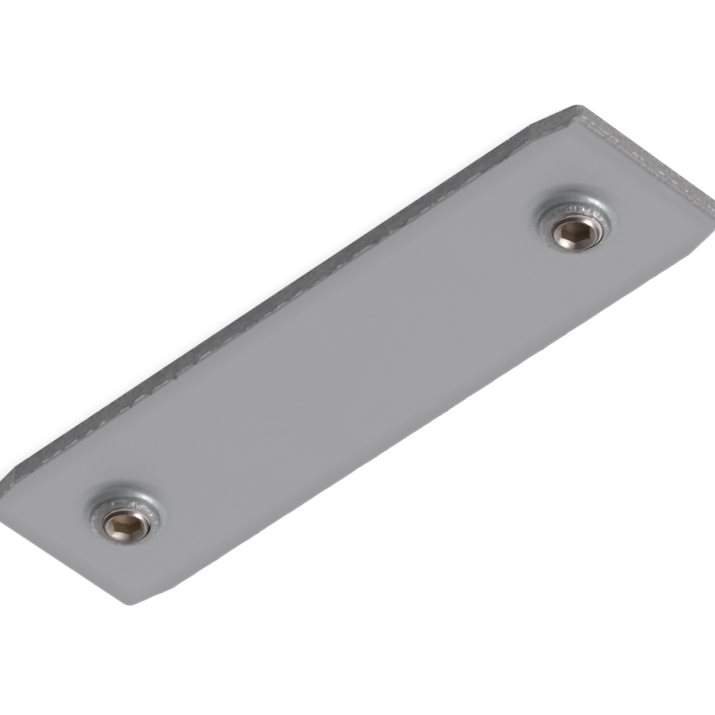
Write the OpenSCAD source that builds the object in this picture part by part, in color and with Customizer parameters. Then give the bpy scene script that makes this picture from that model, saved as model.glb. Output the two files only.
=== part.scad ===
// Track reinforcement: a flat steel plate that slides into the channel of a lighting
// track, with a threaded collar drawn up near each end and a set screw in each collar.
// The plate lies on its flat back, its collars up: X runs along it and Y across it.
// The origin is the middle of the back face.

/* [Plate] */
// Length of the plate
plate_len = 75; // [65:0.5:120]
// Width of the plate, which fills the track's channel
plate_w = 20; // [16:0.5:30]
// Thickness of the sheet
plate_t = 2; // [1.8:0.1:2.6]
// Length of the lead-in taper at each corner, along the plate
taper_len = 5; // [3:0.5:7]
// How far each lead-in taper comes in from the long edge
taper_in = 0.95; // [0.5:0.05:1.5]
// Radius of each corner where a taper meets an end
corner_r = 0.9; // [0.5:0.1:1.5]
// Radius that the press leaves on the front edge all round
roll_r = 0.35; // [0.15:0.05:0.45]

/* [Collars] */
// Distance of each collar's axis from its end of the plate
collar_inset = 9.25; // [9:0.25:15]
// Height of a collar above the front face
collar_h = 1.45; // [1.2:0.05:2]
// Thickness of a collar's wall at its shoulder
shoulder_wall = 0.65; // [0.65:0.05:1]
// Height of a collar's shoulder above the front face
shoulder_h = 0.6; // [0.5:0.05:0.7]
// Radius that rounds the shoulder
shoulder_r = 0.25; // [0.15:0.05:0.3]
// Radius of the fillet between a collar and the front face
root_r = 0.5; // [0.3:0.05:0.5]
// Thickness of a collar's wall just under its lip
lip_wall = 0.5; // [0.35:0.05:0.6]
// Radius that rounds the lip
lip_round = 0.25; // [0.1:0.05:0.3]
// Radius where the punch drew the back face into a collar
punch_r = 0.6; // [0.3:0.05:0.8]

/* [Set screws] */
// Nominal diameter of the set screws
screw_d = 5; // [4.5:0.5:6]
// Overall length of a set screw
screw_len = 3.5; // [3:0.1:3.5]
// How far the left set screw stands above its collar
left_proud = 0.1; // [0.05:0.05:0.6]
// How far the right set screw stands above its collar
right_proud = 0.2; // [0.05:0.05:0.6]
// Clearance between a set screw and its collar, on the radius
thread_gap = 0.03; // [0.02:0.01:0.08]
// Width of the bevel round the socket end, on the radius
bevel_w = 0.4; // [0.2:0.05:0.45]
// Height of the bevel round the socket end
bevel_h = 0.25; // [0.15:0.05:0.4]
// Width across the flats of the hexagon socket
socket_af = 2.5; // [2:0.1:2.6]
// Depth of the straight part of the hexagon socket
socket_depth = 1.6; // [1.2:0.1:1.7]
// Width of the bevelled mouth round the hexagon socket, on the radius
mouth_w = 0.3; // [0.25:0.05:0.4]
// Width of the bevel round the point, on the radius
point_bevel = 0.65; // [0.3:0.05:0.8]
// Diameter of the cup in the point
cup_d = 2.6; // [2:0.1:2.8]
// Depth of the cup in the point
cup_depth = 0.45; // [0.2:0.05:0.5]
// Turn of the left set screw, as the key left it
left_turn = 55; // [0:5:55]
// Turn of the right set screw, as the key left it
right_turn = 45; // [0:5:55]

/* [Hidden] */
$fn = 96;

// Cuts run this far past the faces that they open
cut = 1;
// Steps in each drawn arc of a corner, a rolled edge or a collar
arc_steps = 6;
// Thinnest layer of the rolled edge
roll_start = 0.02;
// Angle between a drill's cone and the flat across it
drill_angle = 30;

half_len = plate_len / 2;
half_w = plate_w / 2;
collar_x = half_len - collar_inset;
straight_h = plate_t - roll_r;

screw_r = screw_d / 2;
bore_r = screw_r + thread_gap;
shoulder_outer = bore_r + shoulder_wall;
lip_outer = bore_r + lip_wall;
lip_z = plate_t + collar_h;
thread_lead = (lip_wall - lip_round) / 2;

face_r = screw_r - bevel_w;
socket_corner_r = socket_af / 2 / cos(30);
mouth_r = socket_af / 2 + mouth_w;
drill_cone_h = socket_af / 2 * tan(drill_angle);

// Angle of a taper to the long edge, and its distance from the plate's middle
taper_angle = atan(taper_in / taper_len);
taper_reach = (half_len - taper_len) * sin(taper_angle) + half_w * cos(taper_angle);

// Middle of the arc that rounds the corner between an end and a taper
corner_x = half_len - corner_r;
corner_y = (taper_reach - corner_r - corner_x * sin(taper_angle)) / cos(taper_angle);

// Points of an arc round a centre, from one angle to another
function arc(centre, r, from, to) = [
    for (i = [0:arc_steps])
        let (a = from + (to - from) * i / arc_steps)
            [centre.x + r * cos(a), centre.y + r * sin(a)]
];

// Where a taper leaves the long edge, on the outline moved in by inset
function taper_start(inset) = [
    (taper_reach - inset - (half_w - inset) * cos(taper_angle)) / sin(taper_angle),
    half_w - inset
];

// One quarter of the outline, from the end of the plate round to its long edge
function quarter(inset) = concat(
    arc([corner_x, corner_y], corner_r - inset, 0, 90 - taper_angle),
    [taper_start(inset)]
);

function flipped(points, sx, sy) = [for (p = points) [sx * p.x, sy * p.y]];
function reversed(points) = [for (i = [len(points) - 1:-1:0]) points[i]];

// The tapered outline of the plate, moved in by inset
module outline(inset = 0) {
    q = quarter(inset);
    polygon(concat(
        q,
        reversed(flipped(q, -1, 1)),
        flipped(q, -1, -1),
        reversed(flipped(q, 1, -1))
    ));
}

// The sheet: straight sides, and a front edge that the press rolled over
module sheet() {
    linear_extrude(straight_h) outline();
    translate([0, 0, straight_h])
        hull()
            for (i = [0:arc_steps])
                let (a = 90 * i / arc_steps)
                    linear_extrude(max(roll_r * sin(a), roll_start))
                        outline(roll_r * (1 - cos(a)));
}

// Outer profile of a collar, as radius and height: the root fillet, the rounded
// shoulder, then the wall that leans in to the lip
function collar_profile() = concat(
    arc([shoulder_outer + root_r, plate_t + root_r], root_r, 270, 195),
    arc([shoulder_outer - shoulder_r, plate_t + shoulder_h], shoulder_r, 0, 60),
    arc([lip_outer - lip_round, lip_z - lip_round], lip_round, 15, 90)
);

// A drawn collar before its hole is cut, standing in the sheet
module collar() {
    rotate_extrude()
        polygon(concat(
            [[0, straight_h / 2], [shoulder_outer + root_r, straight_h / 2]],
            collar_profile(),
            [[0, lip_z]]
        ));
}

// The hole through a collar: rounded where the punch went in, then a bore that stands
// for the thread, with a short lead at the lip
module collar_hole() {
    translate([0, 0, -cut]) cylinder(r = bore_r, h = lip_z + 2 * cut);
    rotate_extrude()
        polygon(concat(
            [[0, -cut], [bore_r + punch_r, -cut]],
            arc([bore_r + punch_r, punch_r], punch_r, 270, 180),
            [[0, punch_r]]
        ));
    translate([0, 0, lip_z - thread_lead])
        cylinder(r1 = bore_r, r2 = bore_r + 2 * thread_lead, h = 2 * thread_lead);
}

module at_left() {
    translate([-collar_x, 0, 0]) children();
}

module at_right() {
    translate([collar_x, 0, 0]) children();
}

module reinforcement_plate() {
    color("#a2a1a4")
        difference() {
            union() {
                sheet();
                at_left() collar();
                at_right() collar();
            }
            at_left() collar_hole();
            at_right() collar_hole();
        }
}

// A cup point set screw with its socket end up, proud of its collar. The screw's outer
// wall is a plain cylinder of the nominal diameter.
module set_screw(proud, turn) {
    top = lip_z + proud;
    point = top - screw_len;
    difference() {
        rotate_extrude()
            polygon([
                [0, point],
                [screw_r - point_bevel, point],
                [screw_r, point + point_bevel],
                [screw_r, top - bevel_h],
                [face_r, top],
                [0, top]
            ]);
        rotate([0, 0, turn])
            translate([0, 0, top - socket_depth])
                cylinder(r = socket_corner_r, h = socket_depth + cut, $fn = 6);
        translate([0, 0, top - socket_depth - drill_cone_h])
            cylinder(r1 = 0, r2 = socket_af / 2, h = drill_cone_h);
        translate([0, 0, top - mouth_w])
            cylinder(r1 = mouth_r - mouth_w, r2 = mouth_r + mouth_w, h = 2 * mouth_w);
        translate([0, 0, point - cup_depth])
            cylinder(r1 = cup_d, r2 = 0, h = 2 * cup_depth);
    }
}

module left_set_screw() {
    color("#b3a196") at_left() set_screw(left_proud, left_turn);
}

module right_set_screw() {
    color("#b3a196") at_right() set_screw(right_proud, right_turn);
}

reinforcement_plate();
left_set_screw();
right_set_screw();
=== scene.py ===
import math

import bmesh
import bpy
from mathutils import Matrix, Vector, noise


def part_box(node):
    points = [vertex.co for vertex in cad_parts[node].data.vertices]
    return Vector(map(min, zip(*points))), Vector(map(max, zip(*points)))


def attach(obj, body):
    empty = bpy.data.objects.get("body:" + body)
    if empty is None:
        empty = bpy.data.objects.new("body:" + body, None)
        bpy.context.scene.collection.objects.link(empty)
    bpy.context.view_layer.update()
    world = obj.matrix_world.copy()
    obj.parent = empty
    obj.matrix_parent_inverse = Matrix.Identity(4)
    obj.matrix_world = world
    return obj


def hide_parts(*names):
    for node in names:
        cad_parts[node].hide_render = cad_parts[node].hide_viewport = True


# Looks of the track reinforcement: a zinc plated steel plate with a drawn, tapped collar
# near each end and a cup point set screw in each collar. Lengths are in metres.

MM = 0.001

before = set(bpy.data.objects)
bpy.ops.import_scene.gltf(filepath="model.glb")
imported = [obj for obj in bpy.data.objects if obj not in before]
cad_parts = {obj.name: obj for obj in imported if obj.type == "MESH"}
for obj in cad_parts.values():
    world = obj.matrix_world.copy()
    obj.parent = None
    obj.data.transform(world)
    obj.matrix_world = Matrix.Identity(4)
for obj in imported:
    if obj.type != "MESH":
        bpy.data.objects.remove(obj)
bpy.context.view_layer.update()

# The plate, from the frame
PLATE_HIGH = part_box("reinforcement_plate")[1]
HALF_LENGTH = PLATE_HIGH.x
HALF_WIDTH = PLATE_HIGH.y
LIP_Z = PLATE_HIGH.z
FACE_Z = 2 * MM
TAPER_LENGTH = 5 * MM
TAPER_IN = 0.95 * MM
TAPER_ANGLE = math.atan2(TAPER_IN, TAPER_LENGTH)
CORNER_RADIUS = 0.9 * MM
ROLL_RADIUS = 0.35 * MM
ROLL_START = FACE_Z - ROLL_RADIUS
ROLL_STEPS = 7
WALL_ROWS = 12
CORNER_SEGMENTS = 6
EDGE_STEP = 0.15 * MM
EDGE_STRIP = 0.12 * MM
FLAT = 1e-7

# The sheared and rolled sides, in millimetres
TORN_BAND_TOP = 1.25
SHEAR_TEAR = 0.012
SHEAR_TEAR_TORN = 0.02
SHEAR_GRIT = 0.02
GRIT_SIZE = 0.24
TEAR_WIDTH = 0.45
TEAR_HEIGHT = 1.1
TORN_BAND_FADE = 0.3
BACK_EDGE_FADE = 0.25
END_ROUGHER = 1.6
ROLL_WAVER = 0.045
ROLL_SAG = 0.05
WAVER_SIZES = (1.9, 0.7)
RAGGED_SIZES = (0.95, 0.4)

# The right end, where the front face sinks towards the cut
END_DROP = 0.43 * MM
END_ROLL = 1.4 * MM
END_CUTS = 8
END_CUT_START = 0.16
END_CUT_STEP = 0.15
CROSS_CUTS = 8
CROSS_CUT_STEP = 1.05
BURR_RISE = 0.07 * MM
BURR_BAND = 0.09 * MM
BURR_DASH = 0.8 * MM
BURR_BREAK = 0.3 * MM
BURR_SHARE = 0.8
CUT_DULLNESS = 0.8
CUT_CROPPED = 0.7

# The collars: the outer profile as (radius, height above the face) in millimetres
COLLAR_FLARE = (
    (3.9, 0.0), (3.82, 0.006), (3.74, 0.018), (3.66, 0.037), (3.58, 0.066), (3.51, 0.105), (3.45, 0.15),
    (3.39, 0.205), (3.33, 0.263), (3.275, 0.32), (3.225, 0.385), (3.185, 0.47), (3.16, 0.57), (3.142, 0.68),
    (3.125, 0.8), (3.105, 0.9), (3.08, 0.99),
)
COLLAR_LIP = (
    (3.055, 1.06), (3.015, 1.12), (2.96, 1.18), (2.895, 1.23), (2.82, 1.27), (2.745, 1.3), (2.66, 1.325),
)
FOOT_RADII = (5.1, 4.98, 4.86, 4.74, 4.62, 4.5, 4.38, 4.26, 4.14, 4.02)
FOOT_START = 3.7 * MM
FOOT_END = 4.9 * MM
FOOT_FADE = 0.8 * MM
# Side where each collar's neck and lip get painted light
PAINTED_LIGHT_SIDE = math.radians(150)

# How rough a collar is, in millimetres, and how many ripples, tears and chips there are round it
FLARE_RIPPLE = 0.05
FLARE_SCORE = 0.03
LIP_TEAR = 0.07
LIP_GRAIN = 0.04
LIP_CHIP = 0.05
RIPPLES = 2.4
SCORES = 9
COARSE_TEARS = 5.5
FINE_TEARS = 13
CHIPS = 6.5
CHIP_HEIGHT = 0.16 * MM
LIP_OUTSIDE = 2.7 * MM
LIP_FADE = 0.25 * MM

# Painted reflection round a collar's foot: the collar's dark reflection in the satin face, as
# (radius in millimetres, share), most on one side
FOOT_REFLECTION_RINGS = ((3.5, 0.0), (3.76, 0.5), (4.0, 0.38), (4.3, 0.5), (4.55, 0.52), (4.8, 0.27), (5.05, 0.0))
FOOT_REFLECTION_SIDE = math.radians(55)
FOOT_REFLECTION_SPREAD = 2.2
COLLAR_SHIFT = (-0.1 * MM, 0.1 * MM)
LEDGE_OUTER = 2.66 * MM
LEDGE_RISE = 0.12 * MM
LEDGE_CHAMFER = 0.02 * MM
LEDGE_WEAR = 0.03
LEDGE_STEPS = 4
BORE_TOP = LIP_Z - 0.07 * MM
CLEAN_BORE_TOP = LIP_Z - 0.35 * MM
# The bore is darker near its top, from this depth up over a rise
DARK_BORE_FROM = LIP_Z - 0.6 * MM
DARK_BORE_RISE = 0.3 * MM
DARK_BORE_SHARE = 0.65
PUNCH_RADIUS = 0.6 * MM
PUNCH_OUTER = 3.13 * MM
PUNCH_STEPS = 8
BACK_RING = 3.28 * MM
COLLAR_COLUMNS = 192
LEFT_SEED = 3.7
RIGHT_SEED = 9.1

# The M5 thread
PITCH = 0.8 * MM
CREST_RADIUS = 2.5 * MM
THREAD_DEPTH = 0.49 * MM
THREAD_GAP = 0.03 * MM
TAPPED_RADIUS = 2.05 * MM
THREAD_STEP = 0.04 * MM
THREAD_RUN_OUT = 0.2 * MM
THREAD_CREST = 0.125
THREAD_ROOT = 0.8
LEFT_PHASE = 0.454
RIGHT_PHASE = 0.285

# The set screws
SOCKET_FLATS = 2.5 * MM
SOCKET_DEPTH = 1.6 * MM
SCREW_COLUMNS = 180
CUP_RADIUS = 1.3 * MM
CUP_DEPTH = 0.45 * MM
POINT_BEVEL = 0.65 * MM
MOUTH_RADIUS = 1.805 * MM
MOUTH_WIDTH = MOUTH_RADIUS - SOCKET_FLATS / 2
MOUTH_ROUNDING = 0.08 * MM
MOUTH_BREAK = 0.22 * MM
MOUTH_RINGS = 18
MOUTH_INNER = 1.3 * MM
MOUTH_DEPTH = 0.4 * MM
CORNER_REACH = 0.35
FACE_RADIUS = 2.0 * MM
FLATS_START = 0.7 * MM
FLATS_GAP = 0.06 * MM
DRILL_RADIUS = 1.2 * MM
DRILL_STEP = 0.02 * MM
DRILL_DEPTH = 0.7 * MM
MARK_PITCH = 0.085 * MM
MARK_DEPTH = 0.006 * MM
# Painted shade on a screw's end falls on this side and on the opposite one
SHADED_SIDE = math.radians(50)
LIT_SIDE = math.radians(5)

# How each screw was left: its turn, its thread's phase, the two slopes of its socket's mouth, the side
# where its mouth gets a painted highlight, and how browned and how amber its socket is
LEFT_STATE = {
    "turn": math.radians(55), "phase": LEFT_PHASE, "slopes": (0.7, 1.0), "highlight_side": math.radians(210),
    "browned": 0.9, "amber": 1.0,
}
RIGHT_STATE = {
    "turn": math.radians(45), "phase": RIGHT_PHASE, "slopes": (0.97, 0.8), "highlight_side": math.radians(192),
    "browned": 1.0, "amber": 0.0,
}

# Rounded bevel round a screw's socket end, as (radius, depth below the end) in millimetres
END_BEVEL = (
    (1.82, 0.0), (1.85, 0.014), (1.89, 0.045), (1.99, 0.14), (2.035, 0.195), (2.055, 0.25), (2.13, 0.28),
    (2.23, 0.305), (2.33, 0.34), (2.41, 0.38), (2.47, 0.43), (2.5, 0.48),
)
END_BEVEL_HEIGHT = END_BEVEL[-1][1] * MM
END_BEVEL_ROWS = 24

SHARP_ANGLE = math.radians(38)

# How rough and how metallic the two metals are
PLATE_ROUGH = (0.36, 0.42)
PLATE_METALLIC = 0.85
SHEARED_ROUGHER = 0.16
DRAWN_ROUGHER = 0.01
GLINT_SMOOTHER = 0.15
CROPPED_DULLER = 0.55
PLATE_RELIEF = 0.03 * MM
SCREW_ROUGH = (0.2, 0.32)
SCREW_METALLIC = 0.95
SOCKET_METALLIC = 0.45
SOCKET_ROUGHER = 0.2
TURNED_ROUGHER = 0.12
SCREW_RELIEF = 0.006 * MM

# Colours of the zinc plated plate
SATIN = (0.418, 0.413, 0.429, 1)
SATIN_CLOUD = (0.444, 0.439, 0.454, 1)
SATIN_GRAIN = (0.37, 0.37, 0.38, 1)
# Painted shade on the face near the sheet's edges
EDGE_SHADE = (0.27, 0.27, 0.275, 1)
DRAWN_DARK = (0.335, 0.352, 0.36, 1)
DRAWN_LIGHT = (0.43, 0.441, 0.45, 1)
TORN_LIP = (0.47, 0.44, 0.445, 1)
# Painted reflection: the collars' dark reflection in the satin face round their feet
FOOT_REFLECTION_DARK = (0.235, 0.25, 0.27, 1)
SLIT_DARK = (0.135, 0.136, 0.134, 1)
SLIT_LIGHT = (0.235, 0.234, 0.232, 1)
SLIT_PURPLE = (0.16, 0.148, 0.175, 1)
# Cropped metal on the ends: its paler colour is partly painted light
CROPPED_DARK = (0.24, 0.235, 0.24, 1)
CROPPED_LIGHT = (0.48, 0.47, 0.48, 1)
CROPPED_PINK = (0.40, 0.33, 0.33, 1)
# Painted highlight along the rolled edge
ROLLED_SHEEN = (0.66, 0.66, 0.67, 1)
# Painted light on one side of each collar's neck and lip
PAINTED_LIGHT_NECK = (0.72, 0.71, 0.72, 1)
# Dark brown: the bore's top and the ledge darker, and painted shade on two sides of the ledge
DARK_BROWN_AND_SHADE = (0.17, 0.14, 0.13, 1)
# Painted glints on the torn lips, low on the sheared sides and on the burr
PAINTED_GLINT = (0.72, 0.72, 0.73, 1)

# Colours of the set screws
STEEL_DARK = (0.52, 0.46, 0.46, 1)
STEEL_LIGHT = (0.66, 0.60, 0.59, 1)
BEIGE_DARK = (0.34, 0.29, 0.25, 1)
BEIGE_LIGHT = (0.48, 0.42, 0.38, 1)
BROWN_DARK = (0.14, 0.095, 0.066, 1)
BROWN_LIGHT = (0.22, 0.155, 0.11, 1)
SOCKET_WALL_DARK = (0.27, 0.19, 0.135, 1)
SOCKET_WALL_LIGHT = (0.40, 0.285, 0.21, 1)
AMBER_DARK = (0.28, 0.185, 0.11, 1)
AMBER_LIGHT = (0.50, 0.34, 0.21, 1)
# Painted shade, in brown: in the thread's groove, on the end's bevel away from its lit side, and on two sides
# of the end
SHADE_BROWN = (0.10, 0.075, 0.066, 1)
# Painted highlight on a socket's mouth, on the wall that faces the lamp and round the hexagon's top edge
PAINTED_HIGHLIGHT = (0.78, 0.68, 0.66, 1)

# Floor, light and camera
FLOOR_HALF = 3.0
FLOOR_DROP = 0.02 * MM
FLOOR_COLOUR = (0.5, 0.5, 0.5, 1)
FLOOR_GLOW = 0.8
AMBIENT = 0.72
DIM_SIDE = (-0.198, 0.740, 0.643)
DIM_FROM = 0.15
DIM_TO = 0.8
DIMMEST = 0.3
KEY_DIRECTION = (0.71, -0.28, 0.64)
KEY_DISTANCE = 1.0
KEY_SIZE = 0.44
KEY_RADIANCE = 4.5
CAMERA_RIGHT = (0.70300, -0.71033, -0.03486)
CAMERA_UP = (0.46012, 0.49165, -0.73930)
CAMERA_BACK = (0.54229, 0.50369, 0.67247)
CAMERA_OFFSET = (0.8909, 1.2171, 875.425)
CAMERA_LENS = 498.19
CAMERA_SENSOR = 36.0


def ramp(value, start, width):
    """How far a value has come from a start over a width, from 0 to 1. A negative width falls."""
    return min(max((value - start) / width, 0.0), 1.0)


def towards(angle, side, spread):
    """1 at the side that an angle faces, falling to 0 round it, faster with a larger spread."""
    return max(math.cos(angle - side), 0.0) ** spread


def grain_at(place, size, seed=0.0):
    """Even noise at a place, with grains of about a size in millimetres."""
    return noise.noise(place / (size * MM) + Vector((seed, 0, 0)))


def waver_at(side):
    """Slow waver along the sheet's edge."""
    slow, quick = WAVER_SIZES
    return grain_at(side, slow) + 0.6 * grain_at(side, quick)


def arc(centre, radius, start, end, steps):
    """Points of an arc as (radius, height), between two angles in degrees."""
    points = []
    for i in range(steps + 1):
        angle = math.radians(start + (end - start) * i / steps)
        points.append((centre[0] + radius * math.cos(angle), centre[1] + radius * math.sin(angle)))
    return points


def stretch(start, end, steps):
    """Evenly spaced (radius, height) points from start to end, both included."""
    a, b = Vector(start), Vector(end)
    return [tuple(a.lerp(b, i / steps)) for i in range(steps + 1)]


def spun(bm, profile, axis_at, columns, layers):
    """Turns a profile about an upright axis. Each profile point is (radius, height, values), and the values
    go to the float layers of its ring."""
    verts = []
    for radius, height, values in profile:
        vert = bm.verts.new((axis_at.x + radius, axis_at.y, height))
        for name, value in values.items():
            vert[layers[name]] = value
        verts.append(vert)
    edges = [bm.edges.new(pair) for pair in zip(verts, verts[1:])]
    bmesh.ops.spin(
        bm, geom=verts + edges, cent=axis_at, axis=(0, 0, 1), dvec=(0, 0, 0),
        angle=math.tau, steps=columns, use_merge=True, use_duplicate=False,
    )


def thread_radius(angle, height, phase=0.0):
    """Radius of an M5 screw's right-hand thread at a place on its wall."""
    turn = (height / PITCH - angle / math.tau + phase) % 1.0
    away = abs(turn - 0.5) * 2
    return CREST_RADIUS - THREAD_DEPTH * ramp(away, THREAD_CREST, THREAD_ROOT - THREAD_CREST)


def polar(vert, axis_at):
    """Angle and radius of a vertex about an upright axis."""
    flat = vert.co.xy - axis_at.xy
    return math.atan2(flat.y, flat.x), flat.length


def set_radius(vert, axis_at, angle, radius):
    vert.co.x = axis_at.x + radius * math.cos(angle)
    vert.co.y = axis_at.y + radius * math.sin(angle)


def finished(bm, name, material, body, node):
    """Makes the mesh an object that rides on its body and stands for its node."""
    bmesh.ops.recalc_face_normals(bm, faces=bm.faces)
    for face in bm.faces:
        face.smooth = True
    for edge in bm.edges:
        edge.smooth = edge.calc_face_angle(0.0) < SHARP_ANGLE
    mesh = bpy.data.meshes.new(name)
    bm.to_mesh(mesh)
    bm.free()
    mesh.materials.append(material)
    piece = bpy.data.objects.new(name, mesh)
    bpy.context.scene.collection.objects.link(piece)
    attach(piece, body)
    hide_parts(node)
    return piece


def above_face(points):
    """Profile points in metres, from (radius, height above the face) in millimetres."""
    return [(radius * MM, FACE_Z + height * MM) for radius, height in points]


def collar_rings():
    """Profile of a collar: from the front face up the flare to the lip, down the tapped bore, and out
    through the punch's rounded entry to the back face."""
    smooth = {"sheared": 0.0, "drawn": 1.0, "tapped": 0.0, "torn": 0.0, "ledge": 0.0}
    edge_of_root = dict(smooth, drawn=0.0)
    torn = dict(smooth, sheared=0.4, torn=1.0)
    tapped = dict(smooth, sheared=1.0, tapped=1.0)
    entry = dict(smooth, drawn=0.6)
    flare = above_face(COLLAR_FLARE)
    lip = above_face(COLLAR_LIP)
    ledge = stretch(lip[-1], (CREST_RADIUS, lip[-1][1] + LEDGE_RISE), LEDGE_STEPS)
    bore_rows = round((BORE_TOP - PUNCH_RADIUS) / THREAD_STEP)
    bore = stretch((CREST_RADIUS, BORE_TOP), (CREST_RADIUS, PUNCH_RADIUS), bore_rows)
    punch = arc((PUNCH_OUTER, PUNCH_RADIUS), PUNCH_RADIUS, 180, 270, PUNCH_STEPS)[1:]
    rings = [(radius * MM, FACE_Z, dict(smooth, drawn=ramp(radius, 4.3, -0.5))) for radius in FOOT_RADII]
    rings += [(*p, smooth) for p in flare]
    rings += [(*p, torn) for p in lip]
    rings += [(*p, dict(torn, ledge=i / LEDGE_STEPS)) for i, p in enumerate(ledge) if i > 0]
    for p in bore:
        near_lip = p[1] > CLEAN_BORE_TOP
        rings.append((*p, dict(tapped, sheared=0.3 if near_lip else 1.0)))
    rings += [(*p, entry) for p in punch[:-1]]
    rings += [(*punch[-1], edge_of_root), (BACK_RING, 0.0, edge_of_root)]
    return rings


def tapped_radius(angle, height, phase):
    """Radius of a collar's tapped bore, which stands a little clear of the screw's thread."""
    return max(thread_radius(angle, height, phase) + THREAD_GAP, TAPPED_RADIUS)


def shift_collar(vert, share):
    """Moves a place on a collar's outside a little off the thread's axis, as the punch left it."""
    vert.co.x += COLLAR_SHIFT[0] * share
    vert.co.y += COLLAR_SHIFT[1] * share


def foot_reflection_share(angle, radius):
    """Share of painted reflection round a collar's foot: the collar's dark reflection in the satin face."""
    side = towards(angle, FOOT_REFLECTION_SIDE, FOOT_REFLECTION_SPREAD)
    for (near, share), (far, next_share) in zip(FOOT_REFLECTION_RINGS, FOOT_REFLECTION_RINGS[1:]):
        if near * MM <= radius < far * MM:
            return side * (share + (next_share - share) * (radius / MM - near) / (far - near))
    return 0.0


def tap_bore(vert, axis_at, layers, angle, phase):
    """Cuts the thread into a bore, running out towards the punch's entry."""
    uncut = PUNCH_OUTER - PUNCH_RADIUS
    cut = tapped_radius(angle, vert.co.z, phase)
    set_radius(vert, axis_at, angle, uncut + (cut - uncut) * ramp(vert.co.z, PUNCH_RADIUS, THREAD_RUN_OUT))
    # Darker near the bore's top
    vert[layers["dark_bore_and_shade"]] = DARK_BORE_SHARE * ramp(vert.co.z, DARK_BORE_FROM, DARK_BORE_RISE)


def wear_ledge(vert, axis_at, layers, angle, phase, seed):
    """Shapes the worn ledge between a lip and the thread, clear of the screw at every height."""
    share = vert[layers["ledge"]]
    edge = max(tapped_radius(angle, z, phase) for z in (BORE_TOP, LIP_Z)) + LEDGE_CHAMFER
    set_radius(vert, axis_at, angle, LEDGE_OUTER + (edge - LEDGE_OUTER) * share)
    grain = grain_at(vert.co, 0.25, seed)
    vert.co.z -= LEDGE_WEAR * (share ** 3 + abs(grain)) * MM
    shift_collar(vert, 1 - share)
    # Painted shade on two sides of the ledge
    vert[layers["dark_bore_and_shade"]] = min(1.3 * shaded_sides_share(angle) * min(2 * share, 1.0), 1.0)


def tear_lip(vert, axis_at, layers, angle, radius, round_the_collar, seed):
    """Tears and chips a lip, where the punch broke through."""
    coarse = abs(noise.noise(round_the_collar * COARSE_TEARS))
    fine = abs(noise.noise(round_the_collar * FINE_TEARS))
    tear = coarse * 1.6 + 0.7 * fine
    outside = ramp(radius, LIP_OUTSIDE, LIP_FADE)
    chip = noise.cell(Vector((angle * CHIPS + seed, (vert.co.z - LIP_Z) / CHIP_HEIGHT, seed)))
    grain = abs(grain_at(vert.co, 0.2, seed))
    vert.co.z -= (LIP_TEAR * tear + LIP_GRAIN * grain) * outside * MM
    inward = (LIP_CHIP * chip + LIP_CHIP * tear + LIP_GRAIN * grain) * outside
    set_radius(vert, axis_at, angle, radius - inward * MM)
    shift_collar(vert, 1.0)
    # The pale value is painted light on one side of the lip
    vert[layers["pale"]] = towards(angle, PAINTED_LIGHT_SIDE, 2) * outside


def ripple_flare(vert, axis_at, layers, angle, radius, round_the_collar, seed):
    """Ripples and scores the drawn wall of a collar."""
    height = (vert.co.z - FACE_Z) / MM
    ripple = abs(noise.noise(round_the_collar * RIPPLES + Vector((0, 0, height))))
    score = abs(noise.noise(Vector((angle * SCORES, height * 1.2, seed))))
    inward = (FLARE_RIPPLE * ripple + FLARE_SCORE * score) * ramp(height, 0.05, 0.3)
    set_radius(vert, axis_at, angle, radius - inward * MM)
    shift_collar(vert, 1.0)
    # Painted reflection of the collar, dark, round its foot
    vert[layers["painted_foot_reflection"]] = foot_reflection_share(angle, radius)
    # The pale value is painted light on one side of the neck
    vert[layers["pale"]] = towards(angle, PAINTED_LIGHT_SIDE, 2) * ramp(height, 0.25, 0.2)


def shape_collar(bm, axis_at, layers, phase, seed):
    """Cuts the thread into a collar's bore and roughens its outside, up to its torn lip."""
    for vert in bm.verts:
        angle, radius = polar(vert, axis_at)
        round_the_collar = Vector((math.cos(angle), math.sin(angle), seed))
        if vert[layers["tapped"]] > 0.5:
            tap_bore(vert, axis_at, layers, angle, phase)
        elif vert[layers["ledge"]] > 0:
            wear_ledge(vert, axis_at, layers, angle, phase, seed)
        elif vert[layers["torn"]] > 0.5:
            tear_lip(vert, axis_at, layers, angle, radius, round_the_collar, seed)
        elif vert[layers["drawn"]] > 0.5 and vert.co.z > FACE_Z:
            ripple_flare(vert, axis_at, layers, angle, radius, round_the_collar, seed)
        elif radius > FOOT_START and vert.co.z > FACE_Z / 2:
            shift_collar(vert, ramp(radius, FOOT_END, -FOOT_FADE))
            # Painted reflection of the collar, dark, on the face round its foot
            vert[layers["painted_foot_reflection"]] = foot_reflection_share(angle, radius)


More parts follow.
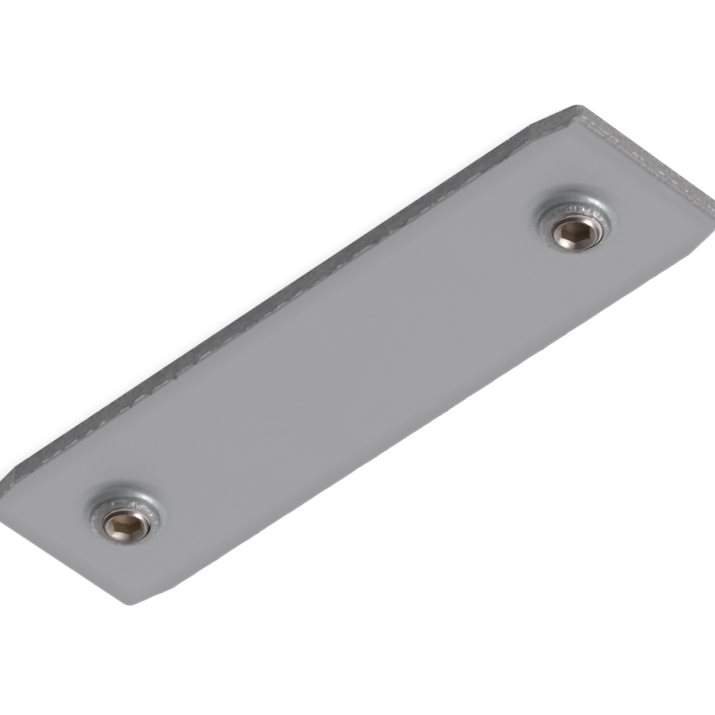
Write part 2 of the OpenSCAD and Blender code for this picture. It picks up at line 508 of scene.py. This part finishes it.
def blank(bm):
    """The sheet's outline as one face: a rectangle, cut to the lead-in tapers and rounded at its ends."""
    size = Matrix.Diagonal((HALF_LENGTH, HALF_WIDTH, 1, 1))
    bmesh.ops.create_grid(bm, x_segments=1, y_segments=1, size=1, matrix=size)
    for side_x in (-1, 1):
        for side_y in (-1, 1):
            bmesh.ops.bisect_plane(
                bm, geom=bm.verts[:] + bm.edges[:] + bm.faces[:], dist=FLAT, clear_outer=True,
                plane_co=(side_x * (HALF_LENGTH - TAPER_LENGTH), side_y * HALF_WIDTH, 0),
                plane_no=(side_x * math.sin(TAPER_ANGLE), side_y * math.cos(TAPER_ANGLE), 0),
            )
    ends = [v for v in bm.verts if abs(v.co.x) > HALF_LENGTH - 0.01 * MM]
    cut_back = CORNER_RADIUS * math.tan(math.pi / 4 - TAPER_ANGLE / 2)
    bmesh.ops.bevel(
        bm, geom=ends, offset=cut_back, offset_type="OFFSET", affect="VERTICES", segments=CORNER_SEGMENTS,
        profile=0.5, material=-1,
    )
    for edge in list(bm.edges):
        cuts = round(edge.calc_length() / EDGE_STEP) - 1
        if cuts > 0:
            bmesh.ops.subdivide_edges(bm, edges=[edge], cuts=cuts)
    return bm.faces[:][0]


def inset_face(bm, face, width, rise=0.0):
    """Draws a flat face in by a width and lifts it."""
    bmesh.ops.inset_region(
        bm, faces=[face], thickness=width, depth=0.0, use_even_offset=True, use_boundary=True,
    )
    bmesh.ops.translate(bm, verts=face.verts, vec=(0, 0, rise))


def raise_sheet(bm, face):
    """Raises the outline to a sheet without its two faces: sheared sides, then the rolled front edge.
    Returns the face that is left at the top."""
    for _ in range(WALL_ROWS):
        grown = bmesh.ops.extrude_face_region(bm, geom=[face])["geom"]
        bmesh.ops.delete(bm, geom=[face], context="FACES_ONLY")
        face = next(g for g in grown if isinstance(g, bmesh.types.BMFace))
        bmesh.ops.translate(bm, verts=face.verts, vec=(0, 0, ROLL_START / WALL_ROWS))
    rim = arc((0, 0), ROLL_RADIUS, 0, 90, ROLL_STEPS)
    for (reach, height), (next_reach, next_height) in zip(rim, rim[1:]):
        inset_face(bm, face, reach - next_reach, next_height - height)
    inset_face(bm, face, EDGE_STRIP)
    return face


def side_depth(vert, side, end_share, in_roll):
    """How far in, in millimetres, the shear and the tearing leave a place on the sheet's side."""
    height = vert.co.z
    tear = noise.noise(side / (TEAR_WIDTH * MM) + Vector((0, 0, height / (TEAR_HEIGHT * MM))))
    grit = grain_at(vert.co, GRIT_SIZE)
    torn = ramp(height, TORN_BAND_TOP * MM, -TORN_BAND_FADE * MM)
    depth = (SHEAR_TEAR + SHEAR_TEAR_TORN * torn) * (0.6 + tear)
    depth += SHEAR_GRIT * (0.5 + grit) * (0.4 + torn)
    away_from_back = min(height / (BACK_EDGE_FADE * MM), 1.0)
    return max(depth, 0.0) * (1.0 + END_ROUGHER * end_share) * (1 - in_roll) * away_from_back


def colour_side(vert, layers, side, slant, end_share, in_roll):
    """Says where a place on the side is sheared, cropped or rolled smooth. The cropped share is partly
    painted light on the ends and tapers, and the rolled share gives the rolled edge a painted highlight.
    """
    wide, narrow = RAGGED_SIZES
    ragged = grain_at(side, wide) + 0.8 * grain_at(side, narrow)
    smooth = ramp(in_roll + 0.8 * ragged, 0.2, 0.35) * min(in_roll * 8, 1.0)
    sheared = 1.0 - smooth
    # The cropped value is partly painted light: the ends, and the tapers by their slant, take the paler
    # cropped colour where the lamp falls on them
    cropped = max(end_share, 0.35 * min(slant / 0.18, 1.0))
    # The rolled value is a painted highlight on the rolled edge
    rolled = ramp(in_roll, 0.1, 0.45) * (0.25 if in_roll > 0.97 else 1.0) * (1 - 0.7 * sheared)
    if side.x > 0 and end_share > 0:
        rolled *= 1 - end_share
        sheared = max(sheared, end_share)
        if in_roll > 0:
            cropped = CUT_CROPPED
    vert[layers["sheared"]] = sheared
    vert[layers["cropped"]] = cropped
    vert[layers["rolled"]] = rolled


def shape_sides(bm, layers):
    """Roughens the sheared sides and lets the rolled edge waver."""
    bm.normal_update()
    moves = []
    for vert in bm.verts:
        outward = Vector((vert.normal.x, vert.normal.y, 0))
        if outward.length < 0.05:
            continue
        outward.normalize()
        side = Vector((vert.co.x, vert.co.y, 0))
        end_share = ramp(abs(outward.x), 0.5, 0.4)
        in_roll = ramp(vert.co.z, ROLL_START, ROLL_RADIUS)
        waver = waver_at(side)
        bell = math.sin(math.pi * in_roll) * (1 - end_share)
        depth = side_depth(vert, side, end_share, in_roll) + ROLL_WAVER * max(waver + 0.4, 0.0) * bell
        drop = ROLL_SAG * max(waver, 0.0) * bell
        moves.append((vert, -outward * depth * MM, drop * MM))
        colour_side(vert, layers, side, abs(outward.x), end_share, in_roll)
    for vert, step, drop in moves:
        vert.co += step
        vert.co.z -= drop


def edge_back(bm, layers):
    """Lays a narrow strip round the back face, so that the sheared metal stops at its edge."""
    back = bmesh.ops.contextual_create(bm, geom=open_edges(bm, 0.0))["faces"][0]
    inset_face(bm, back, EDGE_STRIP)
    for vert in back.verts:
        for layer in layers.values():
            vert[layer] = 0.0
    bmesh.ops.delete(bm, geom=[back], context="FACES_ONLY")


def cut_top(bm, place, across):
    """Cuts the front face near the right end along a plane, so that it can bend there."""
    reach = HALF_LENGTH - 1.1 * END_ROLL
    parts = set()
    for face in bm.faces:
        in_front = all(abs(v.co.z - FACE_Z) < FLAT for v in face.verts)
        if in_front and any(v.co.x > reach for v in face.verts):
            parts.update([face, *face.edges, *face.verts])
    bmesh.ops.bisect_plane(bm, geom=list(parts), dist=FLAT / 10, plane_co=place, plane_no=across)


def sink_end(bm, layers):
    """Draws the front face down towards the right end, as the shear did, and leaves a broken burr there,
    with a painted glint on its dashes.
    """
    for step in range(END_CUTS):
        from_roll = (END_CUT_START + END_CUT_STEP * step) * MM
        cut_top(bm, (HALF_LENGTH - ROLL_RADIUS - from_roll, 0, 0), (1, 0, 0))
    for step in range(-CROSS_CUTS, CROSS_CUTS + 1):
        cut_top(bm, (0, step * CROSS_CUT_STEP * MM, 0), (0, 1, 0))
    for vert in bm.verts:
        near = 1 - (HALF_LENGTH - vert.co.x) / END_ROLL
        height = vert.co.z
        if near <= 0 or height <= 0:
            continue
        if near > 0.9 and ROLL_START - 10 * FLAT < height < ROLL_START + BURR_BAND:
            dashes = noise.noise(Vector((4, vert.co.y / BURR_DASH, 4)))
            dashes += 0.5 * noise.noise(Vector((4, vert.co.y / BURR_BREAK, 9)))
            # The burr value also gives the burr's dashes a painted glint
            vert[layers["burr"]] = min(ramp(dashes, 0.02, 0.25), BURR_SHARE)
        if height > FACE_Z - 10 * FLAT:
            sheared = min(ramp(near, 0.55, 0.25), CUT_DULLNESS)
            vert[layers["sheared"]] = max(vert[layers["sheared"]], sheared)
            # Partly painted light, as on the ends
            vert[layers["cropped"]] = CUT_CROPPED
        waver = waver_at(Vector((vert.co.x, vert.co.y, 0)))
        drop = END_DROP * (1 + 0.12 * waver) * near ** 1.35 * min(height / ROLL_START, 1.0)
        vert.co.z -= drop - BURR_RISE * vert[layers["burr"]]


def open_edges(bm, height):
    """Edges with one face that lie at a height."""
    return [
        e for e in bm.edges
        if len(e.link_faces) < 2 and all(abs(v.co.z - height) < FLAT for v in e.verts)
    ]


def add_collar(bm, layer_names, axis_at, phase, seed):
    """Adds one collar to the sheet's mesh."""
    collar = bmesh.new()
    layers = {name: collar.verts.layers.float.new(name) for name in layer_names}
    spun(collar, collar_rings(), axis_at, COLLAR_COLUMNS, layers)
    shape_collar(collar, axis_at, layers, phase, seed)
    carrier = bpy.data.meshes.new("collar")
    collar.to_mesh(carrier)
    collar.free()
    bm.from_mesh(carrier)
    bpy.data.meshes.remove(carrier)


def build_plate(material):
    """The plate: the sheet's sides, two collars, then the two faces that join them."""
    bm = bmesh.new()
    names = (
        "sheared", "cropped", "burr", "rolled", "drawn", "tapped", "torn", "ledge", "dark_bore_and_shade", "pale", "painted_foot_reflection",
    )
    layers = {name: bm.verts.layers.float.new(name) for name in names}
    top = raise_sheet(bm, blank(bm))
    bmesh.ops.delete(bm, geom=[top], context="FACES_ONLY")
    shape_sides(bm, layers)
    edge_back(bm, layers)
    add_collar(bm, names, screw_axis("left_set_screw"), LEFT_PHASE, LEFT_SEED)
    add_collar(bm, names, screw_axis("right_set_screw"), RIGHT_PHASE, RIGHT_SEED)
    for height, up in ((FACE_Z, 1), (0.0, -1)):
        bmesh.ops.triangle_fill(
            bm, use_beauty=True, use_dissolve=False, edges=open_edges(bm, height), normal=(0, 0, up),
        )
    sink_end(bm, layers)
    return finished(bm, "drawn_plate", material, "plate", "reinforcement_plate")


def socket_radius(angle):
    """Radius of the hexagon socket's wall, with a corner at angle 0."""
    sector = math.pi / 3
    return SOCKET_FLATS / 2 / math.cos((angle % sector) - sector / 2)


def bevel_radius(depth):
    """Radius of a screw's bevelled end at a depth below its top."""
    for (radius, level), (next_radius, next_level) in zip(END_BEVEL, END_BEVEL[1:]):
        if depth <= next_level * MM:
            share = (depth / MM - level) / (next_level - level)
            return (radius + (next_radius - radius) * share) * MM
    return CREST_RADIUS


def shaded_sides_share(angle):
    """Share of painted shade, in brown, on two opposite sides round a screw's end and a collar's ledge."""
    return 0.8 * math.cos(angle - SHADED_SIDE) ** 8


def mouth_depth(inward, slopes):
    """Depth of a socket's mouth at a distance in from its rim: a rounded rim, then two slopes."""
    first, second = slopes
    if inward < MOUTH_ROUNDING:
        return first * inward ** 2 / (2 * MOUTH_ROUNDING)
    change = max(inward - MOUTH_BREAK, 0.0) * (second - first)
    return first * (inward - MOUTH_ROUNDING / 2) + change


def screw_rings(point, top, browned, amber):
    """Profile of a set screw, from the middle of its cup point round to the bottom of its socket."""
    names = ("threaded", "socket", "turned", "hexagon", "mouth", "edge", "painted_shade", "amber")
    plain = dict.fromkeys(names, 0.0)
    threaded = dict(plain, threaded=1.0)
    turned = dict(plain, turned=1.0)
    walls = dict(plain, hexagon=1.0, socket=browned, amber=amber)
    deep = dict(plain, socket=browned, amber=amber)
    cup = stretch((0.0, point + CUP_DEPTH), (CUP_RADIUS, point), 6)
    rim = stretch((CUP_RADIUS, point), (CREST_RADIUS - POINT_BEVEL, point), 3)[1:]
    bevel_start = top - END_BEVEL_HEIGHT
    wall_rows = round((bevel_start - point) / THREAD_STEP)
    wall = stretch((CREST_RADIUS - POINT_BEVEL, point), (CREST_RADIUS, bevel_start), wall_rows)[1:]
    wall += stretch((CREST_RADIUS, bevel_start), (FACE_RADIUS, top), END_BEVEL_ROWS)[1:]
    mouth = stretch((MOUTH_RADIUS, top), (MOUTH_INNER, top - MOUTH_DEPTH), MOUTH_RINGS)
    floor = top - SOCKET_DEPTH
    flats = stretch((SOCKET_FLATS / 2, top - FLATS_START), (SOCKET_FLATS / 2, floor), 6)
    cone = stretch((DRILL_RADIUS, floor - DRILL_STEP), (0.0, floor - DRILL_DEPTH), 5)
    rings = [(*p, plain) for p in cup + rim]
    rings += [(*p, threaded) for p in wall]
    rings += [(*mouth[0], turned)]
    for i, p in enumerate(mouth[1:]):
        share = (i + 1) / MOUTH_RINGS
        # The edge value marks a painted highlight round the hexagon's top edge
        rings += [(*p, dict(turned, mouth=share, socket=0.45 * share ** 2, edge=float(share == 1)))]
    rings += [(*p, walls) for p in flats]
    rings += [(*p, deep) for p in cone]
    return rings


def mouth_inward(over_flats, wall):
    """How far in from the mouth's rim a place counts as: what it is over the flats, and less than the full
    way out towards the hexagon's corners."""
    return over_flats + CORNER_REACH * (MOUTH_RADIUS - wall - over_flats)


def roll_thread(vert, axis_at, point, top, layers, angle, phase):
    """Rolls the thread on a screw's wall, limited by its point and by the bevel of its end."""
    height = vert.co.z
    point_limit = CREST_RADIUS - POINT_BEVEL + (height - point)
    end_limit = bevel_radius(top - height)
    wall = min(thread_radius(angle, height, phase), point_limit, end_limit)
    set_radius(vert, axis_at, angle, wall)
    down = (top - height) / MM
    thread_shade = min((end_limit - wall) / (0.2 * MM), 1.0)
    on_bevel = min(ramp(down, 0.0, 0.02), max((0.29 - down) / 0.04, 0.0))
    shaded = on_bevel * (1 - 0.9 * towards(angle, LIT_SIDE, 12))
    # Painted shade: darker in the thread's groove, on the bevel except its lit side, and on two sides of the
    # end
    vert[layers["painted_shade"]] = max(thread_shade, shaded, shaded_sides_share(angle) * (down < 0.25))


def turn_mouth(vert, axis_at, top, layers, angle, flat, state):
    """Turns a socket's mouth, from its round rim to the hexagon, with fine turning marks."""
    share = vert[layers["mouth"]]
    wall = MOUTH_RADIUS + (flat - MOUTH_RADIUS) * share
    set_radius(vert, axis_at, angle, wall)
    wave = 0.5 - 0.5 * math.cos(math.tau * (MOUTH_RADIUS - wall) / MARK_PITCH)
    inward = mouth_inward(MOUTH_WIDTH * share, wall)
    vert.co.z = top - mouth_depth(inward, state["slopes"]) - MARK_DEPTH * wave
    # Painted shade on two sides of the mouth
    vert[layers["painted_shade"]] = shaded_sides_share(angle)
    # Painted highlight on the mouth's wall that faces the lamp, kept in the edge value
    worn = 0.5 * towards(angle, state["highlight_side"], 12)
    vert[layers["edge"]] = max(vert[layers["edge"]], worn * min(share * 2.5, 1.0))


def shape_screw(bm, axis_at, point, top, layers, state):
    """Rolls the thread on a screw's wall, out through the bevel, and broaches the hexagon socket below its
    turned mouth."""
    for vert in bm.verts:
        angle = polar(vert, axis_at)[0]
        flat = socket_radius(angle - state["turn"])
        if vert[layers["threaded"]] > 0.5:
            roll_thread(vert, axis_at, point, top, layers, angle, state["phase"])
        elif vert[layers["mouth"]] > 0:
            turn_mouth(vert, axis_at, top, layers, angle, flat, state)
        elif vert[layers["hexagon"]] > 0.5:
            set_radius(vert, axis_at, angle, flat)
            if vert.co.z > top - FLATS_START - 10 * FLAT:
                inward = mouth_inward(MOUTH_WIDTH, flat)
                vert.co.z = top - mouth_depth(inward, state["slopes"]) - FLATS_GAP


def screw_axis(node):
    """Where the upright axis of a screw's node stands."""
    low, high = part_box(node)
    return Vector(((low.x + high.x) / 2, (low.y + high.y) / 2, 0))


def build_screw(name, node, body, state, material):
    """A cup point set screw that stands for its node, as its state says."""
    low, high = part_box(node)
    axis_at = screw_axis(node)
    bm = bmesh.new()
    rings = screw_rings(low.z, high.z, state["browned"], state["amber"])
    layers = {layer: bm.verts.layers.float.new(layer) for layer in rings[0][2]}
    spun(bm, rings, axis_at, SCREW_COLUMNS, layers)
    bmesh.ops.remove_doubles(bm, verts=bm.verts, dist=1e-8)
    shape_screw(bm, axis_at, low.z, high.z, layers, state)
    return finished(bm, name, material, body, node)


# Shader nodes

def add_node(tree, kind, **settings):
    node = tree.nodes.new(kind)
    for key, value in settings.items():
        setattr(node, key, value)
    return node


def join(tree, source, target):
    """Links an output socket to an input socket, or sets the input to a plain value."""
    if isinstance(source, bpy.types.NodeSocket):
        tree.links.new(source, target)
    else:
        target.default_value = source


def math_node(tree, operation, *values, clamp=False):
    node = add_node(tree, "ShaderNodeMath", operation=operation, use_clamp=clamp)
    for value, socket in zip(values, node.inputs):
        join(tree, value, socket)
    return node.outputs[0]


def times(tree, first, second):
    return math_node(tree, "MULTIPLY", first, second)


def plus(tree, first, second):
    return math_node(tree, "ADD", first, second)


def larger(tree, first, second):
    return math_node(tree, "MAXIMUM", first, second)


def blend_colours(tree, factor, first, second):
    node = add_node(tree, "ShaderNodeMix", data_type="RGBA", blend_type="MIX", clamp_factor=True)
    join(tree, factor, node.inputs["Factor"])
    join(tree, first, node.inputs[6])
    join(tree, second, node.inputs[7])
    return node.outputs[2]


def map_range(tree, value, low, high, to_low, to_high):
    node = add_node(tree, "ShaderNodeMapRange", clamp=True)
    for socket, given in zip(node.inputs, (value, low, high, to_low, to_high)):
        join(tree, given, socket)
    return node.outputs[0]


def layer_value(tree, name):
    return add_node(tree, "ShaderNodeAttribute", attribute_name=name).outputs["Fac"]


def new_group(name, inputs, outputs):
    """A shader node group with named float inputs and outputs. Returns it with its inner ends."""
    group = bpy.data.node_groups.new(name, "ShaderNodeTree")
    for label, value in inputs.items():
        socket = group.interface.new_socket(label, in_out="INPUT", socket_type="NodeSocketFloat")
        socket.default_value = value
    for label in outputs:
        group.interface.new_socket(label, in_out="OUTPUT", socket_type="NodeSocketFloat")
    return group, group.nodes.new("NodeGroupInput"), group.nodes.new("NodeGroupOutput")


def speckle_group():
    """Even noise of a given grain size in millimetres, spread over 0 to 1."""
    group, given, result = new_group("speckle", {"Grain": 1.0, "Detail": 2.0, "Contrast": 1.0}, ["Value"])
    place = add_node(group, "ShaderNodeTexCoord").outputs["Object"]
    texture = add_node(group, "ShaderNodeTexNoise", noise_dimensions="3D")
    join(group, place, texture.inputs["Vector"])
    join(group, math_node(group, "DIVIDE", 1 / MM, given.outputs["Grain"]), texture.inputs["Scale"])
    join(group, given.outputs["Detail"], texture.inputs["Detail"])
    centred = math_node(group, "SUBTRACT", texture.outputs[0], 0.5)
    spread = math_node(group, "MULTIPLY", centred, given.outputs["Contrast"])
    join(group, math_node(group, "ADD", spread, 0.5, clamp=True), result.inputs["Value"])
    return group


def use_group(tree, group, **values):
    node = add_node(tree, "ShaderNodeGroup", node_tree=group)
    for name, value in values.items():
        join(tree, value, node.inputs[name])
    return node.outputs[0]


def new_material(name, metallic):
    material = bpy.data.materials.new(name)
    material.use_nodes = True
    tree = material.node_tree
    shader = tree.nodes["Principled BSDF"]
    shader.inputs["Metallic"].default_value = metallic
    return material, tree, shader


def bump(tree, height, strength, distance):
    node = add_node(tree, "ShaderNodeBump")
    join(tree, height, node.inputs["Height"])
    join(tree, strength, node.inputs["Strength"])
    join(tree, distance, node.inputs["Distance"])
    return node.outputs[0]


def satin_colour(tree, place, cloud, grain):
    """Satin zinc, faintly clouded, with painted shade that darkens it near the sheet's edges."""
    satin = blend_colours(tree, cloud, SATIN, SATIN_CLOUD)
    satin = blend_colours(tree, times(tree, grain, 0.2), satin, SATIN_GRAIN)
    from_end = math_node(tree, "SUBTRACT", HALF_LENGTH, math_node(tree, "ABSOLUTE", place.outputs["X"]))
    from_side = math_node(tree, "SUBTRACT", HALF_WIDTH, math_node(tree, "ABSOLUTE", place.outputs["Y"]))
    from_edge = math_node(tree, "MINIMUM", from_end, from_side)
    # Painted shade, darker near the sheet's edges
    shade_near_edge = map_range(tree, from_edge, 0.3 * MM, 2.2 * MM, 0.35, 0.0)
    return blend_colours(tree, shade_near_edge, satin, EDGE_SHADE)


def cut_colour(tree, cropped, grain, blotch):
    """Dark slit metal along the sides and paler cropped metal on the ends, partly painted light."""
    slit = blend_colours(tree, grain, SLIT_DARK, SLIT_LIGHT)
    purple = map_range(tree, blotch, 0.5, 0.8, 0.0, 0.7)
    slit = blend_colours(tree, purple, slit, SLIT_PURPLE)
    ends = blend_colours(tree, grain, CROPPED_DARK, CROPPED_LIGHT)
    pink = map_range(tree, blotch, 0.55, 0.85, 0.0, 0.45)
    ends = blend_colours(tree, pink, ends, CROPPED_PINK)
    return blend_colours(tree, cropped, slit, ends)


def zinc_plate_material(speckle):
    """Satin zinc on the faces, duller drawn metal on the collars, dark slit metal along the long sides and
    paler rough metal on the cropped ends, partly painted light where the lamp falls on them."""
    material, tree, shader = new_material("zinc_plate", PLATE_METALLIC)
    sheared = layer_value(tree, "sheared")
    cropped = layer_value(tree, "cropped")
    burr = layer_value(tree, "burr")
    ledge = layer_value(tree, "ledge")
    drawn = layer_value(tree, "drawn")
    torn = layer_value(tree, "torn")
    cloud = use_group(tree, speckle, Grain=6.0, Detail=3.0, Contrast=1.5)
    grain = use_group(tree, speckle, Grain=0.35, Detail=3.0, Contrast=1.6)
    blotch = use_group(tree, speckle, Grain=1.6, Detail=2.0, Contrast=2.5)
    pits = use_group(tree, speckle, Grain=0.14, Detail=2.0, Contrast=1.6)
    place = add_node(tree, "ShaderNodeSeparateXYZ")
    join(tree, add_node(tree, "ShaderNodeTexCoord").outputs["Object"], place.inputs[0])

    pulled = blend_colours(tree, grain, DRAWN_DARK, DRAWN_LIGHT)
    colour = blend_colours(tree, drawn, satin_colour(tree, place, cloud, grain), pulled)
    colour = blend_colours(tree, times(tree, torn, 0.6), colour, TORN_LIP)
    # Painted reflection of each collar, dark, on the face round its foot
    colour = blend_colours(tree, layer_value(tree, "painted_foot_reflection"), colour, FOOT_REFLECTION_DARK)
    # The slit and cropped colours; the paler cropped colour is partly painted light
    colour = blend_colours(tree, sheared, colour, cut_colour(tree, cropped, grain, blotch))
    # Painted highlight along the rolled edge, from the rolled value
    colour = blend_colours(tree, times(tree, layer_value(tree, "rolled"), 0.68), colour, ROLLED_SHEEN)
    # Painted light on one side of each collar's neck and lip, from the pale value
    colour = blend_colours(tree, times(tree, layer_value(tree, "pale"), 0.65), colour, PAINTED_LIGHT_NECK)
    # The ledge darker in blotches towards the thread, the bore's top darker, and painted shade on two sides
    # of the ledge
    darkened_and_shaded = times(
        tree, math_node(tree, "POWER", ledge, 2.0), map_range(tree, blotch, 0.2, 0.8, 0.35, 0.85),
    )
    darkened_and_shaded = larger(tree, darkened_and_shaded, layer_value(tree, "dark_bore_and_shade"))
    colour = blend_colours(tree, darkened_and_shaded, colour, DARK_BROWN_AND_SHADE)
    low = map_range(tree, place.outputs["Z"], 0.1 * MM, 0.6 * MM, 1.0, 0.0)
    # Painted glints: specks low on the sheared sides, on the torn lips and on the burr
    speck_glints = times(tree, map_range(tree, pits, 0.68, 0.8, 0.0, 0.8), low)
    speck_glints = times(tree, speck_glints, sheared)
    outside = math_node(tree, "SUBTRACT", torn, ledge, clamp=True)
    bright = times(tree, outside, map_range(tree, grain, 0.6, 0.8, 0.0, 0.42))
    bright = larger(tree, larger(tree, bright, speck_glints), burr)
    # Painted glints
    colour = blend_colours(tree, bright, colour, PAINTED_GLINT)
    join(tree, colour, shader.inputs["Base Color"])

    rough = map_range(tree, cloud, 0.0, 1.0, *PLATE_ROUGH)
    rough = plus(tree, rough, times(tree, sheared, SHEARED_ROUGHER))
    rough = plus(tree, rough, times(tree, drawn, DRAWN_ROUGHER))
    rough = math_node(tree, "SUBTRACT", rough, times(tree, bright, GLINT_SMOOTHER))
    join(tree, rough, shader.inputs["Roughness"])
    raw = times(tree, times(tree, sheared, cropped), CROPPED_DULLER)
    join(tree, math_node(tree, "SUBTRACT", PLATE_METALLIC, raw), shader.inputs["Metallic"])

    fine = times(tree, pits, plus(tree, 0.04, times(tree, sheared, 0.9)))
    coarse = times(tree, grain, times(tree, sheared, 1.6))
    relief = bump(tree, plus(tree, fine, coarse), 0.7, PLATE_RELIEF)
    join(tree, relief, shader.inputs["Normal"])
    return material


def socket_colour(tree, hexagon, stain):
    """Brown inside a socket, lighter on the hexagon's walls, and amber in the left screw."""
    brown = blend_colours(tree, stain, BROWN_DARK, BROWN_LIGHT)
    walls = blend_colours(tree, stain, SOCKET_WALL_DARK, SOCKET_WALL_LIGHT)
    brown = blend_colours(tree, hexagon, brown, walls)
    amber = blend_colours(tree, stain, AMBER_DARK, AMBER_LIGHT)
    return blend_colours(tree, layer_value(tree, "amber"), brown, amber)


def screw_steel_material(speckle):
    """Bright plated steel with a warm tint, duller on its turned end face and browned inside the socket."""
    material, tree, shader = new_material("screw_steel", SCREW_METALLIC)
    socket = layer_value(tree, "socket")
    turned = layer_value(tree, "turned")
    grain = use_group(tree, speckle, Grain=0.25, Detail=3.0, Contrast=1.8)
    stain = use_group(tree, speckle, Grain=0.7, Detail=2.0, Contrast=2.2)

    bright = blend_colours(tree, grain, STEEL_DARK, STEEL_LIGHT)
    beige = blend_colours(tree, stain, BEIGE_DARK, BEIGE_LIGHT)
    colour = blend_colours(tree, turned, bright, beige)
    colour = blend_colours(tree, socket, colour, socket_colour(tree, layer_value(tree, "hexagon"), stain))
    # Painted shade, in brown
    colour = blend_colours(tree, times(tree, layer_value(tree, "painted_shade"), 0.92), colour, SHADE_BROWN)
    # Painted highlight on the mouth, from the edge value
    colour = blend_colours(tree, times(tree, layer_value(tree, "edge"), 0.9), colour, PAINTED_HIGHLIGHT)
    join(tree, colour, shader.inputs["Base Color"])
    rough = map_range(tree, grain, 0.0, 1.0, *SCREW_ROUGH)
    rough = plus(tree, rough, times(tree, socket, SOCKET_ROUGHER))
    rough = plus(tree, rough, times(tree, turned, TURNED_ROUGHER))
    join(tree, rough, shader.inputs["Roughness"])
    metallic = map_range(tree, socket, 0.0, 1.0, SCREW_METALLIC, SOCKET_METALLIC)
    join(tree, metallic, shader.inputs["Metallic"])
    join(tree, bump(tree, grain, 0.4, SCREW_RELIEF), shader.inputs["Normal"])
    return material


# Floor, light and camera

def seen_rays(tree):
    """1 for camera, glossy and transmission rays, which see the plain white surroundings."""
    path = add_node(tree, "ShaderNodeLightPath")
    shiny = math_node(tree, "ADD", path.outputs["Is Glossy Ray"], path.outputs["Is Transmission Ray"])
    return math_node(tree, "ADD", path.outputs["Is Camera Ray"], shiny, clamp=True)


def build_floor():
    """A plain pale floor that takes a soft shadow and melts into the white surroundings."""
    bm = bmesh.new()
    bmesh.ops.create_grid(bm, x_segments=1, y_segments=1, size=FLOOR_HALF)
    mesh = bpy.data.meshes.new("floor")
    bm.to_mesh(mesh)
    bm.free()
    floor = bpy.data.objects.new("floor", mesh)
    bpy.context.scene.collection.objects.link(floor)
    floor.location.z = -FLOOR_DROP
    material = bpy.data.materials.new("pale_floor")
    material.use_nodes = True
    tree = material.node_tree
    tree.nodes.clear()
    pale = add_node(tree, "ShaderNodeBsdfDiffuse")
    pale.inputs["Color"].default_value = FLOOR_COLOUR
    glow = add_node(tree, "ShaderNodeEmission")
    join(tree, times(tree, seen_rays(tree), FLOOR_GLOW), glow.inputs["Strength"])
    both = add_node(tree, "ShaderNodeAddShader")
    join(tree, pale.outputs[0], both.inputs[0])
    join(tree, glow.outputs[0], both.inputs[1])
    join(tree, both.outputs[0], add_node(tree, "ShaderNodeOutputMaterial").inputs["Surface"])
    mesh.materials.append(material)


def build_world():
    """White all round for the camera. What lights the plate is a little dimmer overhead and to the left of
    the camera, as in a studio with its lamp on the right and a white sheet behind."""
    world = bpy.data.worlds.new("studio")
    world.use_nodes = True
    tree = world.node_tree
    background = tree.nodes["Background"]
    background.inputs["Color"].default_value = (1, 1, 1, 1)
    facing = add_node(tree, "ShaderNodeVectorMath", operation="DOT_PRODUCT")
    join(tree, add_node(tree, "ShaderNodeTexCoord").outputs["Generated"], facing.inputs[0])
    facing.inputs[1].default_value = DIM_SIDE
    shade = map_range(tree, facing.outputs["Value"], DIM_FROM, DIM_TO, 1.0, DIMMEST)
    strength = map_range(tree, seen_rays(tree), 0.0, 1.0, AMBIENT, 1.0)
    camera_ray = add_node(tree, "ShaderNodeLightPath").outputs["Is Camera Ray"]
    join(tree, larger(tree, times(tree, strength, shade), camera_ray), background.inputs["Strength"])
    bpy.context.scene.world = world


def add_key_light():
    """One square softbox that faces the object, as bright as its radiance says."""
    lamp = bpy.data.lights.new("key", "AREA")
    lamp.shape = "RECTANGLE"
    lamp.size = KEY_SIZE
    lamp.size_y = KEY_SIZE
    lamp.energy = KEY_RADIANCE * math.pi * KEY_SIZE * KEY_SIZE
    holder = bpy.data.objects.new("key", lamp)
    bpy.context.scene.collection.objects.link(holder)
    aim = Vector(KEY_DIRECTION).normalized()
    holder.location = aim * KEY_DISTANCE
    holder.rotation_euler = aim.to_track_quat("Z", "Y").to_euler()


def add_camera():
    """The photograph's view: the plate seen from above its collars, with the picture turned upside down."""
    right = Vector(CAMERA_RIGHT)
    up = Vector(CAMERA_UP)
    back = Vector(CAMERA_BACK)
    lens = bpy.data.cameras.new("camera")
    lens.sensor_width = CAMERA_SENSOR
    lens.lens = CAMERA_LENS
    lens.clip_start = 0.01
    lens.clip_end = 20.0
    camera = bpy.data.objects.new("camera", lens)
    bpy.context.scene.collection.objects.link(camera)
    along_right, along_up, along_back = CAMERA_OFFSET
    place = Vector((0, 0, FACE_Z)) + (along_right * right + along_up * up + along_back * back) * MM
    camera.matrix_world = Matrix.Translation(place) @ Matrix((right, up, back)).transposed().to_4x4()
    bpy.context.scene.camera = camera


add_camera()
build_world()
build_floor()
add_key_light()

speckle = speckle_group()
zinc_plate = zinc_plate_material(speckle)
screw_steel = screw_steel_material(speckle)
build_plate(zinc_plate)
build_screw("left_threaded_screw", "left_set_screw", "left_screw", LEFT_STATE, screw_steel)
build_screw("right_threaded_screw", "right_set_screw", "right_screw", RIGHT_STATE, screw_steel)

bpy.context.scene.view_settings.view_transform = "Standard"
